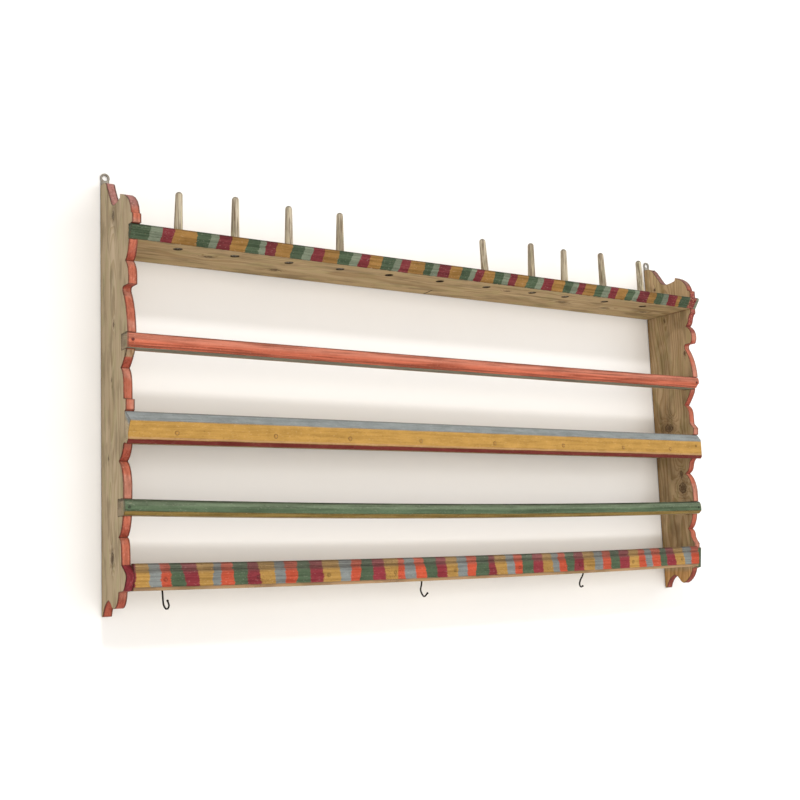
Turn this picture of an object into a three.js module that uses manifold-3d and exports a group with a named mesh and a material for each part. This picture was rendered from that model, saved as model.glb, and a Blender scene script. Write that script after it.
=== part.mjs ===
// Wall-hung painted pine plate rack: two scalloped end boards, three shelves, two plate rails,
// spoon pegs on the top shelf and iron hooks under the bottom one.
// Millimetres. X runs along the rack, +Y points into the wall and +Z points up.
// Profiles are drawn as depth in front of the wall and height above the pointed feet.
import * as THREE from 'three';
import { mergeVertices } from 'three/addons/utils/BufferGeometryUtils.js';
import Module from 'manifold-3d';

const wasm = await Module();
wasm.setup();

// Overall sizes
const WIDTH = 1523;
const BOARD = 18;
const HALF = WIDTH / 2;
const INNER = HALF - BOARD;
const GAP = 0.3;
const HOUSING = 6;
const EASING = 0.4;

// Shelves: underside height, thickness and front depth
const TOP_SHELF = { under: 705, thickness: 26.7, front: 151.5 };
const MIDDLE_SHELF = { under: 334, thickness: 22, front: 126 };
const BOTTOM_SHELF = { under: 60, thickness: 20, front: 105 };
const SHELF_BACK = 2;
const NOSE_FRONT = 169;

// Front boards: lowest and highest edge, back and face depth
const MIDDLE_FRONT = { low: 320, high: 381.3, back: 126.5, face: 142 };
const BOTTOM_FRONT = { low: 49.8, high: 100.3, back: 105.5, face: 122 };

// Plate rails: lowest and highest edge, back and face depth
const UPPER_RAIL = { low: 499, high: 528.3, back: 112, face: 148, sag: 0.8, fall: 0 };
const LOWER_RAIL = { low: 188.5, high: 219, back: 89, face: 124.5, sag: 7.5, fall: 6.5 };
const WORN_END = { along: 13, height: 14, backDepth: 133 };

// The long pieces have sagged in the middle, and the lower rail falls to the right
const BOTTOM_SHELF_SAG = 5.8;
const SAG_STEPS = 12;

// Peg holes along the top shelf: distance from the left end, degrees by which the peg leans to the
// right, and the height of its top. All pegs lean forward a little; the two holes without a top
// have lost theirs
const PEG_DEPTH = 121;
const PEG = { hole: 9.4, tenon: 9, tip: 7, lean: 3 };
const PEG_HOLES = [
  { at: 112.5, aside: 0.7, top: 819 },
  { at: 234.5, aside: 0.4, top: 826.5 },
  { at: 357, aside: -0.3, top: 824.5 },
  { at: 479.5, aside: -0.2, top: 826.5 },
  { at: 603, aside: 0 },
  { at: 739, aside: 0 },
  { at: 869, aside: -5.4, top: 817 },
  { at: 1006, aside: -0.9, top: 824 },
  { at: 1108.5, aside: -0.9, top: 821.5 },
  { at: 1236, aside: -4.7, top: 826.5 },
  { at: 1366, aside: -5.5, top: 821.5 },
];

// Treenails and nails, as distances from the left end
const MIDDLE_PINS = [97, 306, 478, 655, 855, 1057, 1248, 1408];
const MIDDLE_PIN_HEIGHT = 341;
const MIDDLE_NAIL = { at: 1501, height: 351 };
const BOTTOM_PINS = [79, 271, 429, 590, 745, 925, 1105, 1276, 1444];
const BOTTOM_PIN_HEIGHT = 70;
const PIN = { radius: 3.5, length: 30 };
const NAIL = { shank: 1.3, head: 3.2, headHeight: 1.2, length: 32 };
const END_NAIL_INSET = 9;

// Iron hooks: distance from the left end, and the bend of the wire below the shelf down to its tip
const HOOK = { wire: 1.8, hole: 2.4, depth: 75, screw: 12, knob: 2.4 };
const HOOKS = [
  { name: 'hook_left', at: 91, bend: [[1, -17], [1.6, -28], [3.3, -39], [9, -46], [13.6, -40.5], [10.7, -30]] },
  { name: 'hook_centre', at: 688, bend: [[-1, -17.5], [-4, -29], [0.4, -40], [5.2, -43.8], [13.7, -37]] },
  { name: 'hook_right', at: 1157, bend: [[-4.7, -17.5], [-10.6, -25], [-15, -36], [-11.4, -43], [-5.4, -41]] },
];

// Hanger straps on the back edges of the end boards
const STRAP = { width: 17, thickness: 2, low: 792, eye: 5.8, head: 9.6 };
const EYE_HEIGHT = { left: 868.5, right: 853.5 };
const STRAP_NAILS = [802, 834];

// The origin is on the wall, midway between the two hanger eyes
const ORIGIN_HEIGHT = (EYE_HEIGHT.left + EYE_HEIGHT.right) / 2;

const PAINT = {
  coral: 0xb8543f, ochre: 0xc1924d, green: 0x5f7350, blueGrey: 0x8e9a98, crimson: 0x7a3137,
  pine: 0xa58e6e, darkPine: 0x8b7150,
};

const material = (color, roughness = 0.75, metalness = 0) =>
  new THREE.MeshStandardMaterial({ color, roughness, metalness });

// A point of a profile: the wall is at 0 and the front is at negative Y
const at = (depth, height) => [-depth, height];
const fromLeft = (distance) => distance - HALF;

function profile(start, ...moves) {
  const shape = new THREE.Shape();
  shape.moveTo(...at(...start));
  for (const move of moves) {
    if (move.length === 2) shape.lineTo(...at(...move));
    else shape.quadraticCurveTo(...at(move[0], move[1]), ...at(move[2], move[3]));
  }
  return shape;
}

// Sweeps a profile along X
function alongX(shape, from, to, { steps = 1, curveSegments = 5 } = {}) {
  const geometry = new THREE.ExtrudeGeometry(shape, {
    depth: to - from, steps, curveSegments, bevelEnabled: false,
  });
  const axes = new THREE.Matrix4().makeBasis(
    new THREE.Vector3(0, 1, 0), new THREE.Vector3(0, 0, 1), new THREE.Vector3(1, 0, 0),
  );
  return geometry.applyMatrix4(axes).translate(from, 0, 0);
}

const rectangle = (nearDepth, farDepth, low, high) =>
  profile([nearDepth, low], [farDepth, low], [farDepth, high], [nearDepth, high]);

const block = (from, to, nearDepth, farDepth, low, high) =>
  alongX(rectangle(nearDepth, farDepth, low, high), from, to);

// How far a long piece lies below its left end: a parabola between the end boards, and a slope
const dropAt = (x, sag, fall = 0) => sag * Math.max(0, 1 - (x / INNER) ** 2) + (fall * (x + HALF)) / WIDTH;

// A profile swept along X and sagged. Where it runs into the end boards, its outermost joints are
// moved to their faces
function saggingBar(shape, reach, { sag, fall = 0 }) {
  const geometry = alongX(shape, -reach, reach, { steps: SAG_STEPS });
  const lastStep = reach - (2 * reach) / SAG_STEPS;
  const stretch = reach > INNER ? INNER / lastStep : 1;
  const points = geometry.getAttribute('position');
  for (let i = 0; i < points.count; i += 1) {
    const x = points.getX(i);
    const moved = Math.abs(x) < lastStep + 1 ? x * stretch : x;
    points.setX(i, moved);
    points.setZ(i, points.getZ(i) - dropAt(moved, sag, fall));
  }
  return geometry;
}

// A round bar along Y, from one depth to another
function barAlongY(x, z, radius, nearDepth, farDepth, sides = 16) {
  const length = farDepth - nearDepth;
  const geometry = new THREE.CylinderGeometry(radius, radius, length, sides);
  return geometry.translate(x, -(nearDepth + farDepth) / 2, z);
}

// A round bar along Z
function barAlongZ(x, depth, radius, low, high, sides = 20) {
  const geometry = new THREE.CylinderGeometry(radius, radius, high - low, sides).rotateX(Math.PI / 2);
  return geometry.translate(x, -depth, (low + high) / 2);
}

function toSolid(geometry) {
  const plain = geometry.clone();
  plain.deleteAttribute('normal');
  plain.deleteAttribute('uv');
  const merged = mergeVertices(plain, 1e-4);
  return new wasm.Manifold(new wasm.Mesh({
    numProp: 3,
    vertProperties: new Float32Array(merged.getAttribute('position').array),
    triVerts: new Uint32Array(merged.getIndex().array),
  }));
}

function toGeometry(solid) {
  const mesh = solid.getMesh();
  const geometry = new THREE.BufferGeometry();
  geometry.setAttribute('position', new THREE.BufferAttribute(mesh.vertProperties, 3));
  geometry.setIndex(new THREE.BufferAttribute(mesh.triVerts, 1));
  geometry.computeVertexNormals();
  return geometry;
}

function cut(geometry, tools) {
  let solid = toSolid(geometry);
  for (const tool of tools) solid = solid.subtract(toSolid(tool));
  return toGeometry(solid);
}

function join(geometries) {
  return toGeometry(geometries.map(toSolid).reduce((whole, piece) => whole.add(piece)));
}

const rack = new THREE.Group();
rack.position.z = -ORIGIN_HEIGHT;

function place(name, geometry, surface) {
  const mesh = new THREE.Mesh(geometry, surface);
  mesh.name = name;
  rack.add(mesh);
  return mesh;
}

// The end boards were sawn by hand, each to its own outline, drawn up the front edge from the foot
function leftOutline() {
  return profile(
    [0, 3],
    // pointed foot and the notch in front of it
    [5, 3], [13, 28, 35.5, 34], [44, 33, 51, 25], [57, 18, 66, 18.5],
    // quarter round, then the rounded end that the bottom front board butts against
    [84, 21, 89, 49], [112.5, 50.5], [122.5, 59, 126.5, 73], [128, 79, 123, 84], [105, 97.5], [104.5, 108],
    // ogee and small lobe, then the lobe under the lower rail
    [103.4, 131.5], [101.6, 147, 90.8, 149], [106, 156, 112.6, 184], [116, 221],
    // lobe over the lower rail, and the one under the middle shelf
    [116.6, 246.5], [113, 280.5, 93.8, 291], [111.5, 297.5, 118.8, 321.5], [126, 323], [126, 381],
    // stepped lobe over the middle shelf
    [130.8, 384], [131.2, 403.5], [120.5, 405.5], [120, 432.5], [119.5, 456.5, 106.6, 466],
    [118, 472.5, 133.7, 493], [142.5, 530.5],
    // long sweep over the upper rail up to the square-cornered lobe
    [141.6, 540.5], [137.5, 582.5, 119, 610.5], [116.6, 619, 125.5, 619.5], [148.3, 619], [148.8, 634.5],
    [149.3, 653.5, 133.3, 667], [146.7, 673.5, 152.4, 701], [153, 724],
    // square above the shelf, top lobe, notch and the high back shoulder
    [171, 727], [171.2, 747], [171, 751, 165, 752], [161, 791, 109, 803.5], [108, 796],
    [90, 790, 74, 790.5], [61, 793, 54.3, 809], [42, 826, 33, 846], [27, 852, 13, 852], [0, 852],
  );
}

function rightOutline() {
  return profile(
    [0, -2.5],
    [5, -2.5], [13, 23.5, 35.5, 29.5], [44, 28.5, 51, 19], [56, 10, 65, 9],
    // broad quarter round and the straight end in front of the bottom shelf
    [88, 18, 97, 45], [108.5, 47.5], [114, 95.5], [109.5, 97.5], [110.5, 107],
    [103, 116, 99.8, 125], [101, 139, 91, 144.5], [105, 155, 109.5, 180], [116, 210],
    // flatter lobe over the lower rail
    [116.5, 240], [113, 272, 95.5, 285.5], [108, 291, 110, 303], [113, 318, 122, 322], [126, 324], [126, 378],
    // the step over the middle shelf slopes
    [132, 381], [133.8, 398], [122.5, 411], [122, 437], [121, 452, 108.8, 460],
    [120, 472, 131, 491], [144.5, 530],
    [144, 542], [140.5, 578, 123.2, 605], [122, 616, 128, 616.3], [144, 616], [150, 621, 150, 634],
    [149.5, 652, 133, 662.5], [141, 667, 143.2, 680], [145.5, 689, 153, 694], [153, 720],
    // the top lobe is narrower than the left one
    [156, 731], [155.8, 751], [148, 754], [143, 782, 108, 796], [106, 788],
    [88, 784, 73, 785], [58, 788, 49, 803], [38, 819, 30, 830], [20, 840.5, 10, 840.5], [0, 840.5],
  );
}

const END_BOARDS = {
  left: { side: -1, outline: leftOutline },
  right: { side: 1, outline: rightOutline },
};

// Everything let into a board is cut a little larger than it is
const letIn = ([from, to], { back, low, high, fall = 0 }) => {
  const drop = dropAt((from + to) / 2, 0, fall);
  return block(from, to, back - GAP, back + 100, low - drop - GAP, high - drop + GAP);
};

const housing = ([from, to], { front, under, thickness }) =>
  block(from, to, -5, front + GAP, under - GAP, under + thickness + GAP);

function endBoard({ side, outline }) {
  const [from, to] = [side * INNER, side * HALF].sort((a, b) => a - b);
  const pocket = [side * (INNER - 5), side * (INNER + HOUSING + GAP)].sort((a, b) => a - b);
  const through = [from - 5, to + 5];
  const middle = (from + to) / 2;
  const noseNotch = {
    back: TOP_SHELF.front, low: TOP_SHELF.under, high: TOP_SHELF.under + TOP_SHELF.thickness,
  };
  const board = alongX(outline(), from, to, { curveSegments: 5 });
  const straps = [
    block(middle - STRAP.width / 2 - GAP, middle + STRAP.width / 2 + GAP,
      -5, STRAP.thickness + GAP, STRAP.low - GAP, ORIGIN_HEIGHT),
    ...STRAP_NAILS.map((z) => barAlongY(middle, z, NAIL.shank + GAP, 0, NAIL.length + 2, 10)),
  ];
  const railNails = [UPPER_RAIL, LOWER_RAIL].map((rail) =>
    railNailHole(rail, side, rail.back - 16, rail.back + 5));
  return cut(board, [
    ...[TOP_SHELF, MIDDLE_SHELF, BOTTOM_SHELF].map((shelf) => housing(pocket, shelf)),
    ...[noseNotch, UPPER_RAIL, LOWER_RAIL, MIDDLE_FRONT].map((piece) => letIn(through, piece)),
    ...straps,
    ...railNails,
  ]);
}

// Both ends of a shelf's top and of a rail's back are eased where they enter the end boards
const easedEnds = (reach, nearDepth, farDepth, low, high) => [-1, 1].map((side) => {
  const ends = [side * (INNER - EASING), side * (reach + 1)].sort((a, b) => a - b);
  return block(...ends, nearDepth, farDepth, low, high);
});

// A peg and its hole lean forward and to one side, about the middle of the shelf's thickness
function leaned(geometry, { at: distance, aside }) {
  const pivot = TOP_SHELF.under + TOP_SHELF.thickness / 2;
  const { degToRad } = THREE.MathUtils;
  return geometry.translate(0, 0, -pivot).rotateX(degToRad(PEG.lean)).rotateY(degToRad(aside))
    .translate(fromLeft(distance), -PEG_DEPTH, pivot);
}

// The top shelf is one board: its front edge is moulded and laps over both end boards
function topShelf() {
  const { under, thickness, front } = TOP_SHELF;
  const high = under + thickness;
  const shape = profile(
    [SHELF_BACK, under], [front + 2, under], [NOSE_FRONT - 1.5, high - 7],
    [NOSE_FRONT + 0.5, high - 2, NOSE_FRONT - 5, high], [SHELF_BACK, high],
  );
  const ends = [-1, 1].map((side) => {
    const beyond = [side * (INNER + HOUSING), side * (HALF + 5)].sort((a, b) => a - b);
    return block(...beyond, -5, front, under - 5, high + 5);
  });
  const holes = PEG_HOLES.map((hole) =>
    leaned(barAlongZ(0, 0, PEG.hole, under - 5, high + 5), hole));
  const eased = easedEnds(INNER + HOUSING, -5, front, high - EASING, high + 5);
  return cut(alongX(shape, -HALF, HALF), [...ends, ...eased, ...holes]);
}

const middleNailHole = () => barAlongY(fromLeft(MIDDLE_NAIL.at), MIDDLE_NAIL.height, NAIL.shank + GAP,
  MIDDLE_FRONT.face - NAIL.length - 2, MIDDLE_FRONT.face + 5, 10);

function plainShelf(shelf, { sag = 0, pins, pinHeight, pinFar, hooks = [], nailHoles = [] }) {
  const reach = INNER + HOUSING;
  const shape = rectangle(SHELF_BACK, shelf.front, shelf.under, shelf.under + shelf.thickness);
  const board = sag ? saggingBar(shape, reach, { sag }) : alongX(shape, -reach, reach);
  const top = shelf.under + shelf.thickness;
  const eased = easedEnds(reach, -5, shelf.front + 5, top - EASING, top + 5);
  const pinHoles = pins.map((distance) => {
    const x = fromLeft(distance);
    const z = pinHeight - dropAt(x, sag);
    return barAlongY(x, z, PIN.radius + GAP, pinFar - PIN.length - 1, shelf.front + 5, 14);
  });
  const hookHoles = hooks.map(({ at: distance }) => {
    const x = fromLeft(distance);
    const low = shelf.under - dropAt(x, sag);
    return barAlongZ(x, HOOK.depth, HOOK.hole, low - 5, low + HOOK.screw + 0.5, 12);
  });
  return cut(board, [...eased, ...pinHoles, ...hookHoles, ...nailHoles]);
}

// A chamfered board, planted on the front of the middle shelf and of the end boards. The chamfer of
// its left end runs out towards the bottom; the right end's is shallow
function middleFront() {
  const { low, high, back, face } = MIDDLE_FRONT;
  const topChamfer = 18;
  const bottomChamfer = 7.5;
  const endChamfers = [
    { side: -1, along: 8.5, into: face - back, runOut: 0.2 },
    { side: 1, along: 3, into: 3, runOut: 0 },
  ];
  const shape = profile(
    [back, low + 3], [face - bottomChamfer, low], [face, low + bottomChamfer],
    [face, high - topChamfer], [back + 1, high], [back, high],
  );
  const wedges = endChamfers.map(({ side, along, into, runOut }) => {
    const slope = into / along;
    const corner = new THREE.Shape();
    corner.moveTo(side * (HALF + 5), -face + into + 5 * slope);
    corner.lineTo(side * (HALF - along - 5), -face - 5 * slope);
    corner.lineTo(side * (HALF + 5), -face - 5 * slope);
    const wedge = new THREE.ExtrudeGeometry(corner, { depth: high - low + 10, bevelEnabled: false })
      .translate(0, 0, low - 5);
    const points = wedge.getAttribute('position');
    for (let i = 0; i < points.count; i += 1) {
      points.setX(i, points.getX(i) + side * runOut * (high - points.getZ(i)));
    }
    return wedge;
  });
  const pinHoles = MIDDLE_PINS.map((distance) => barAlongY(
    fromLeft(distance), MIDDLE_PIN_HEIGHT, PIN.radius + GAP, back - 5, face + 5, 14));
  return cut(alongX(shape, -HALF, HALF), [...wedges, ...pinHoles, middleNailHole()]);
}

// A moulded board between the end boards: a bead at the top, a quirk, a full face and a fillet below
function bottomFront() {
  const { low, high, back, face } = BOTTOM_FRONT;
  const shape = profile(
    [back, low], [face - 5, low], [face - 4, low + 5.7], [face - 1.5, low + 6.2],
    [face + 1, low + 21, face, high - 15], [face - 3, high - 13.5], [face - 3, high - 12.5],
    [face + 1, high - 8.5, face - 2, high - 3], [face - 3.5, high, face - 8, high], [back, high],
  );
  const board = saggingBar(shape, INNER - GAP, { sag: BOTTOM_SHELF_SAG });
  const pinHoles = BOTTOM_PINS.map((distance) => {
    const x = fromLeft(distance);
    const z = BOTTOM_PIN_HEIGHT - dropAt(x, BOTTOM_SHELF_SAG);
    return barAlongY(x, z, PIN.radius + GAP, back - 5, face + 5, 14);
  });
  return cut(board, pinHoles);
}

const railNailPlace = (rail, side) => {
  const x = side * (HALF - END_NAIL_INSET);
  return [x, (rail.low + rail.high) / 2 - dropAt(x, 0, rail.fall)];
};

function railNailHole(rail, side, nearDepth, farDepth) {
  const [x, z] = railNailPlace(rail, side);
  return barAlongY(x, z, NAIL.shank + GAP, nearDepth, farDepth, 10);
}

// A rail let through both end boards, with its nail holes
function plateRail(shape, rail, cuts = []) {
  const { low, high, back, face } = rail;
  const eased = easedEnds(HALF, back - 5, back + EASING, low - 10, high + 5);
  const nailHoles = [-1, 1].map((side) => railNailHole(rail, side, back - 5, face + 5));
  return cut(saggingBar(shape, HALF, rail), [...eased, ...nailHoles, ...cuts]);
}

// A wedge that takes the lower corner off the upper rail's right end
function wornEnd(low) {
  const { along, height, backDepth } = WORN_END;
  const corner = new THREE.Shape();
  corner.moveTo(HALF + 2, low + height * (1 + 2 / along));
  corner.lineTo(HALF - along * 1.2, low - height * 0.2);
  corner.lineTo(HALF + 2, low - height * 0.2);
  return new THREE.ExtrudeGeometry(corner, { depth: 60, bevelEnabled: false })
    .rotateX(Math.PI / 2).translate(0, -backDepth, 0);
}

// The upper rail has a rounded top, a groove low on its face and a square lower edge. The lower
// corner of its right end is worn away
function upperRail() {
  const { low, high, back, face } = UPPER_RAIL;
  const shape = profile(
    [back, low], [face - 1.5, low], [face, low + 2], [face, low + 3.5],
    [face - 2, low + 5.5, face - 0.5, low + 12], [face + 1, high - 1, face - 7, high], [back, high],
  );
  const worn = wornEnd(low);
  return plateRail(shape, UPPER_RAIL, [worn]);
}

// The lower rail has a rounded front and a broad chamfer below
function lowerRail() {
  const { low, high, back, face } = LOWER_RAIL;
  const shape = profile(
    [back, low], [face - 8, low], [face, low + 7.5], [face + 0.5, low + 16, face - 1, high - 8],
    [face - 3, high, face - 10, high], [back, high],
  );
  return plateRail(shape, LOWER_RAIL);
}

// A round taper with a domed top, standing on the tenon that fills its hole
function peg({ top }) {
  const { tenon, tip } = PEG;
  const start = TOP_SHELF.under + 1;
  const shelfTop = TOP_SHELF.under + TOP_SHELF.thickness;
  const outline = new THREE.Path();
  outline.moveTo(0, start);
  outline.lineTo(tenon - 0.8, start);
  outline.lineTo(tenon, start + 1);
  outline.lineTo(tenon, shelfTop + 1);
  outline.lineTo(tip, top - tip);
  outline.absarc(0, top - tip, tip, 0, Math.PI / 2, false);
  const points = outline.getPoints(5);
  points[points.length - 1].x = 0;
  return new THREE.LatheGeometry(points, 16).rotateX(Math.PI / 2);
}

// A whittled wooden pin with a slightly domed head
function treenail(farDepth) {
  const { radius, length } = PIN;
  const near = farDepth - length;
  const points = [
    [0, near], [radius - 0.8, near], [radius, near + 1.5], [radius, farDepth],
    [radius - 0.9, farDepth + 0.7], [0, farDepth + 1],
  ].map(([r, y]) => new THREE.Vector2(r, y));
  return new THREE.LatheGeometry(points, 12).rotateX(Math.PI);
}

// A cut nail with a flat round head
function nail(headDepth) {
  const { shank, head, headHeight, length } = NAIL;
  const points = [
    [0, headDepth - length], [shank * 0.5, headDepth - length], [shank, headDepth - length + 4],
    [shank, headDepth + GAP], [head, headDepth + GAP], [head * 0.9, headDepth + headHeight],
    [0, headDepth + headHeight],
  ].map(([r, y]) => new THREE.Vector2(r, y));
  return new THREE.LatheGeometry(points, 10).rotateX(Math.PI);
}

// A bent wire with a blunt tip; its upper end is screwed into the shelf
function ironHook({ bend }) {
  const { wire, screw, knob } = HOOK;
  const path = new THREE.CatmullRomCurve3([[0, screw], [0, screw / 2], [0, -5], ...bend]
    .map(([x, z]) => new THREE.Vector3(x, 0, z)));
  const section = new THREE.Shape();
  section.absarc(0, 0, wire, 0, Math.PI * 2);
  const bar = new THREE.ExtrudeGeometry(section, {
    steps: 24, curveSegments: 4, extrudePath: path, bevelEnabled: false,
  });
  const [tipX, tipZ] = bend.at(-1);
  return join([bar, new THREE.SphereGeometry(knob, 10, 6).translate(tipX, 0, tipZ)]);
}

// A strap with a round head round its eye
function hangerStrap(eyeHeight) {
  const { width, thickness, low, eye, head } = STRAP;
  const side = width / 2;
  const neck = Math.sqrt(head ** 2 - side ** 2);
  const angle = Math.atan2(neck, side);
  const shape = new THREE.Shape();
  shape.moveTo(-side, low);
  shape.lineTo(side, low);
  shape.lineTo(side, eyeHeight - neck);
  shape.absarc(0, eyeHeight, head, -angle, Math.PI + angle, false);
  const addHole = (height, size) => {
    const hole = new THREE.Path();
    hole.absarc(0, height, size, 0, Math.PI * 2, true);
    shape.holes.push(hole);
  };
  addHole(eyeHeight, eye);
  for (const height of STRAP_NAILS) addHole(height, NAIL.shank + GAP);
  return new THREE.ExtrudeGeometry(shape, { depth: thickness, curveSegments: 8, bevelEnabled: false })
    .rotateX(Math.PI / 2);
}

const pine = material(PAINT.pine, 0.8);
const iron = material(0x1b1918, 0.5, 0.8);
const zinc = material(0xb9b4a6, 0.4, 0.9);

place('left_end_board', endBoard(END_BOARDS.left), pine);
place('right_end_board', endBoard(END_BOARDS.right), pine);
place('top_shelf', topShelf(), material(PAINT.darkPine, 0.8));
place('upper_plate_rail', upperRail(), material(PAINT.coral, 0.65));
place('middle_shelf', plainShelf(MIDDLE_SHELF, {
  pins: MIDDLE_PINS, pinHeight: MIDDLE_PIN_HEIGHT, pinFar: MIDDLE_FRONT.face,
  nailHoles: [middleNailHole()],
}), pine);
place('middle_front_board', middleFront(), material(PAINT.ochre, 0.65));
place('lower_plate_rail', lowerRail(), material(PAINT.green, 0.65));
place('bottom_shelf', plainShelf(BOTTOM_SHELF, {
  sag: BOTTOM_SHELF_SAG, pins: BOTTOM_PINS, pinHeight: BOTTOM_PIN_HEIGHT,
  pinFar: BOTTOM_FRONT.face, hooks: HOOKS,
}), pine);
place('bottom_front_board', bottomFront(), material(PAINT.crimson, 0.65));

PEG_HOLES.filter(({ top }) => top).forEach((hole, i) => {
  place(`peg_${i + 1}`, leaned(peg(hole), hole), pine);
});

MIDDLE_PINS.forEach((distance, i) => {
  const pin = place(`middle_treenail_${i + 1}`, treenail(MIDDLE_FRONT.face), material(PAINT.ochre));
  pin.position.set(fromLeft(distance), 0, MIDDLE_PIN_HEIGHT);
});

BOTTOM_PINS.forEach((distance, i) => {
  const x = fromLeft(distance);
  const pin = place(`bottom_treenail_${i + 1}`, treenail(BOTTOM_FRONT.face), material(PAINT.ochre));
  pin.position.set(x, 0, BOTTOM_PIN_HEIGHT - dropAt(x, BOTTOM_SHELF_SAG));
});

place('middle_front_nail', nail(MIDDLE_FRONT.face), iron)
  .position.set(fromLeft(MIDDLE_NAIL.at), 0, MIDDLE_NAIL.height);

for (const [name, rail] of [['upper_rail', UPPER_RAIL], ['lower_rail', LOWER_RAIL]]) {
  for (const [end, side] of [['left', -1], ['right', 1]]) {
    const [x, z] = railNailPlace(rail, side);
    place(`${name}_nail_${end}`, nail(rail.face), iron).position.set(x, 0, z);
  }
}

for (const design of HOOKS) {
  const x = fromLeft(design.at);
  place(design.name, ironHook(design), iron)
    .position.set(x, -HOOK.depth, BOTTOM_SHELF.under - dropAt(x, BOTTOM_SHELF_SAG));
}

for (const [end, side] of [['left', -1], ['right', 1]]) {
  const x = side * (HALF - BOARD / 2);
  place(`${end}_hanger`, hangerStrap(EYE_HEIGHT[end]), zinc).position.set(x, 0, 0);
  STRAP_NAILS.forEach((height, i) => {
    const pin = place(`${end}_hanger_nail_${i + 1}`, nail(0), iron);
    pin.rotation.z = Math.PI;
    pin.position.set(x, 0, height);
  });
}

export default rack;
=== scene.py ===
"""Looks, light and camera for a wall-hung painted pine plate rack."""
import math
import random

import bpy
from mathutils import Matrix, Vector

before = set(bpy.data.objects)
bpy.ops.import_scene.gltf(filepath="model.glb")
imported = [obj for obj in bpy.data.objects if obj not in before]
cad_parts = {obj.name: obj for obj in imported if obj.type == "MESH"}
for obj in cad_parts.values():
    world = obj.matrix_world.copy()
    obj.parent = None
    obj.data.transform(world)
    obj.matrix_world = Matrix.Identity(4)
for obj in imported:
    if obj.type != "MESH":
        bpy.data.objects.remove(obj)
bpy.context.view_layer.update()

bl_info = {
    "name": "Plate rack finish",
    "version": (1, 0, 0),
    "blender": (4, 5, 0),
    "location": "View3D > Sidebar > Plate rack",
    "description": "Finishes the wood, paint and ironwork of a plate rack, and sets its studio",
    "category": "Object",
}

# One millimetre in metres
MM = 0.001

# The rack in millimetres: X from its left outer face, depth in front of the wall, height above its feet
WIDTH = 1523.0
BOARD = 18.0
HALF_BOARD = BOARD / 2
BOARD_MIDDLE = WIDTH / 2 - HALF_BOARD
HANGER_HEIGHT = 861.0
TOP_SHELF = {"under": 705.0, "top": 731.7, "front": 153.5, "nose": 169.0}
MIDDLE_FRONT = {"low": 320.0, "high": 381.3, "back": 126.5}
BOTTOM_FRONT = {"low": 49.8, "high": 100.3, "face": 122.0, "sag": 5.8}
UPPER_RAIL = {"low": 499.0, "high": 528.3, "back": 112.0, "face": 148.0, "sag": 0.8, "fall": 0.0}
LOWER_RAIL = {"low": 188.5, "high": 219.0, "back": 89.0, "face": 124.5, "sag": 7.5, "fall": 6.5}

# Edges that turn by more than this, in degrees, stay sharp
SHARP_ANGLE = 33.0

# How short a plain knot is along the grain: 1 makes it round, and less makes it long
PLAIN_KNOT = 0.62

# Knots in millimetres: place along the grain, place across it and size, and how short where it isn't plain
LEFT_BOARD_KNOTS = (
    (772, 70, 11), (556, 71, 6), (450, 58.5, 3.5), (436, 60.5, 3), (111, 58, 12), (300, 40, 5)
)
RIGHT_BOARD_KNOTS = (
    (407, 51, 25, 1.35), (250, 84, 22, 0.9), (284, 82, 9), (780, 34, 5), (592, 123, 6), (690, 60, 5)
)
TOP_SHELF_KNOTS = (
    (190, 93, 12), (358, 56, 11), (941, 108, 8), (1140, 73, 12), (1288, 65, 10), (1419, 71, 12)
)

# The end boards: pith as depth and place from the left, and the bottom board's stripe that ends on each.
# Right is 1 on the right board, whose paint is battered and darker, and whose lower rail is let in lower.
END_BOARDS = {
    "left_end_board": {
        "right": 0.0, "knots": LEFT_BOARD_KNOTS, "pith": (62, -42),
        "stripe": "crimson", "stripe_ends": (50.5, 98.0),
    },
    "right_end_board": {
        "right": 1.0, "knots": RIGHT_BOARD_KNOTS, "pith": (62, 1562),
        "stripe": "green", "stripe_ends": (46.5, 96.0),
    },
}

# On the end boards: heights where the battered paint and the ogee top begin and the foot ends, the depth
# where the front edge begins, and half the width of the dark line round a rail that is let in
BATTERED_FROM = 642.0
OGEE_FROM = 762.0
FOOT_TO = 40.0
FRONT_EDGE_FROM = 80.0
JOINT_LINE = 1.6

# Height from which a peg's round end counts as its tip
PEG_TIP_FROM = 800.0

# The shelves behind their front boards: sag, pith as depth and height, and knots
PLAIN_SHELVES = {
    "middle_shelf": (0.0, (40, 260), ((330, 60, 10), (905, 85, 8), (1240, 40, 13))),
    "bottom_shelf": (BOTTOM_FRONT["sag"], (70, 150), ((260, 50, 8), (720, 70, 12), (1120, 30, 7))),
}

# Marks of wear, the top shelf's slanting crack and where the bottom board is chipped, as start, end and
# softness;
# between them the depths of the top shelf's peg holes, whose walls get painted shade
CRACK = {"from": 773.6, "to": 777.4, "slant": 0.085, "depth": 45.0}
PEG_HOLES = (15.0, 138.0)
CHIPPED = ((562.0, 606.0, 2.0), (243.0, 290.0, 6.0))

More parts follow.
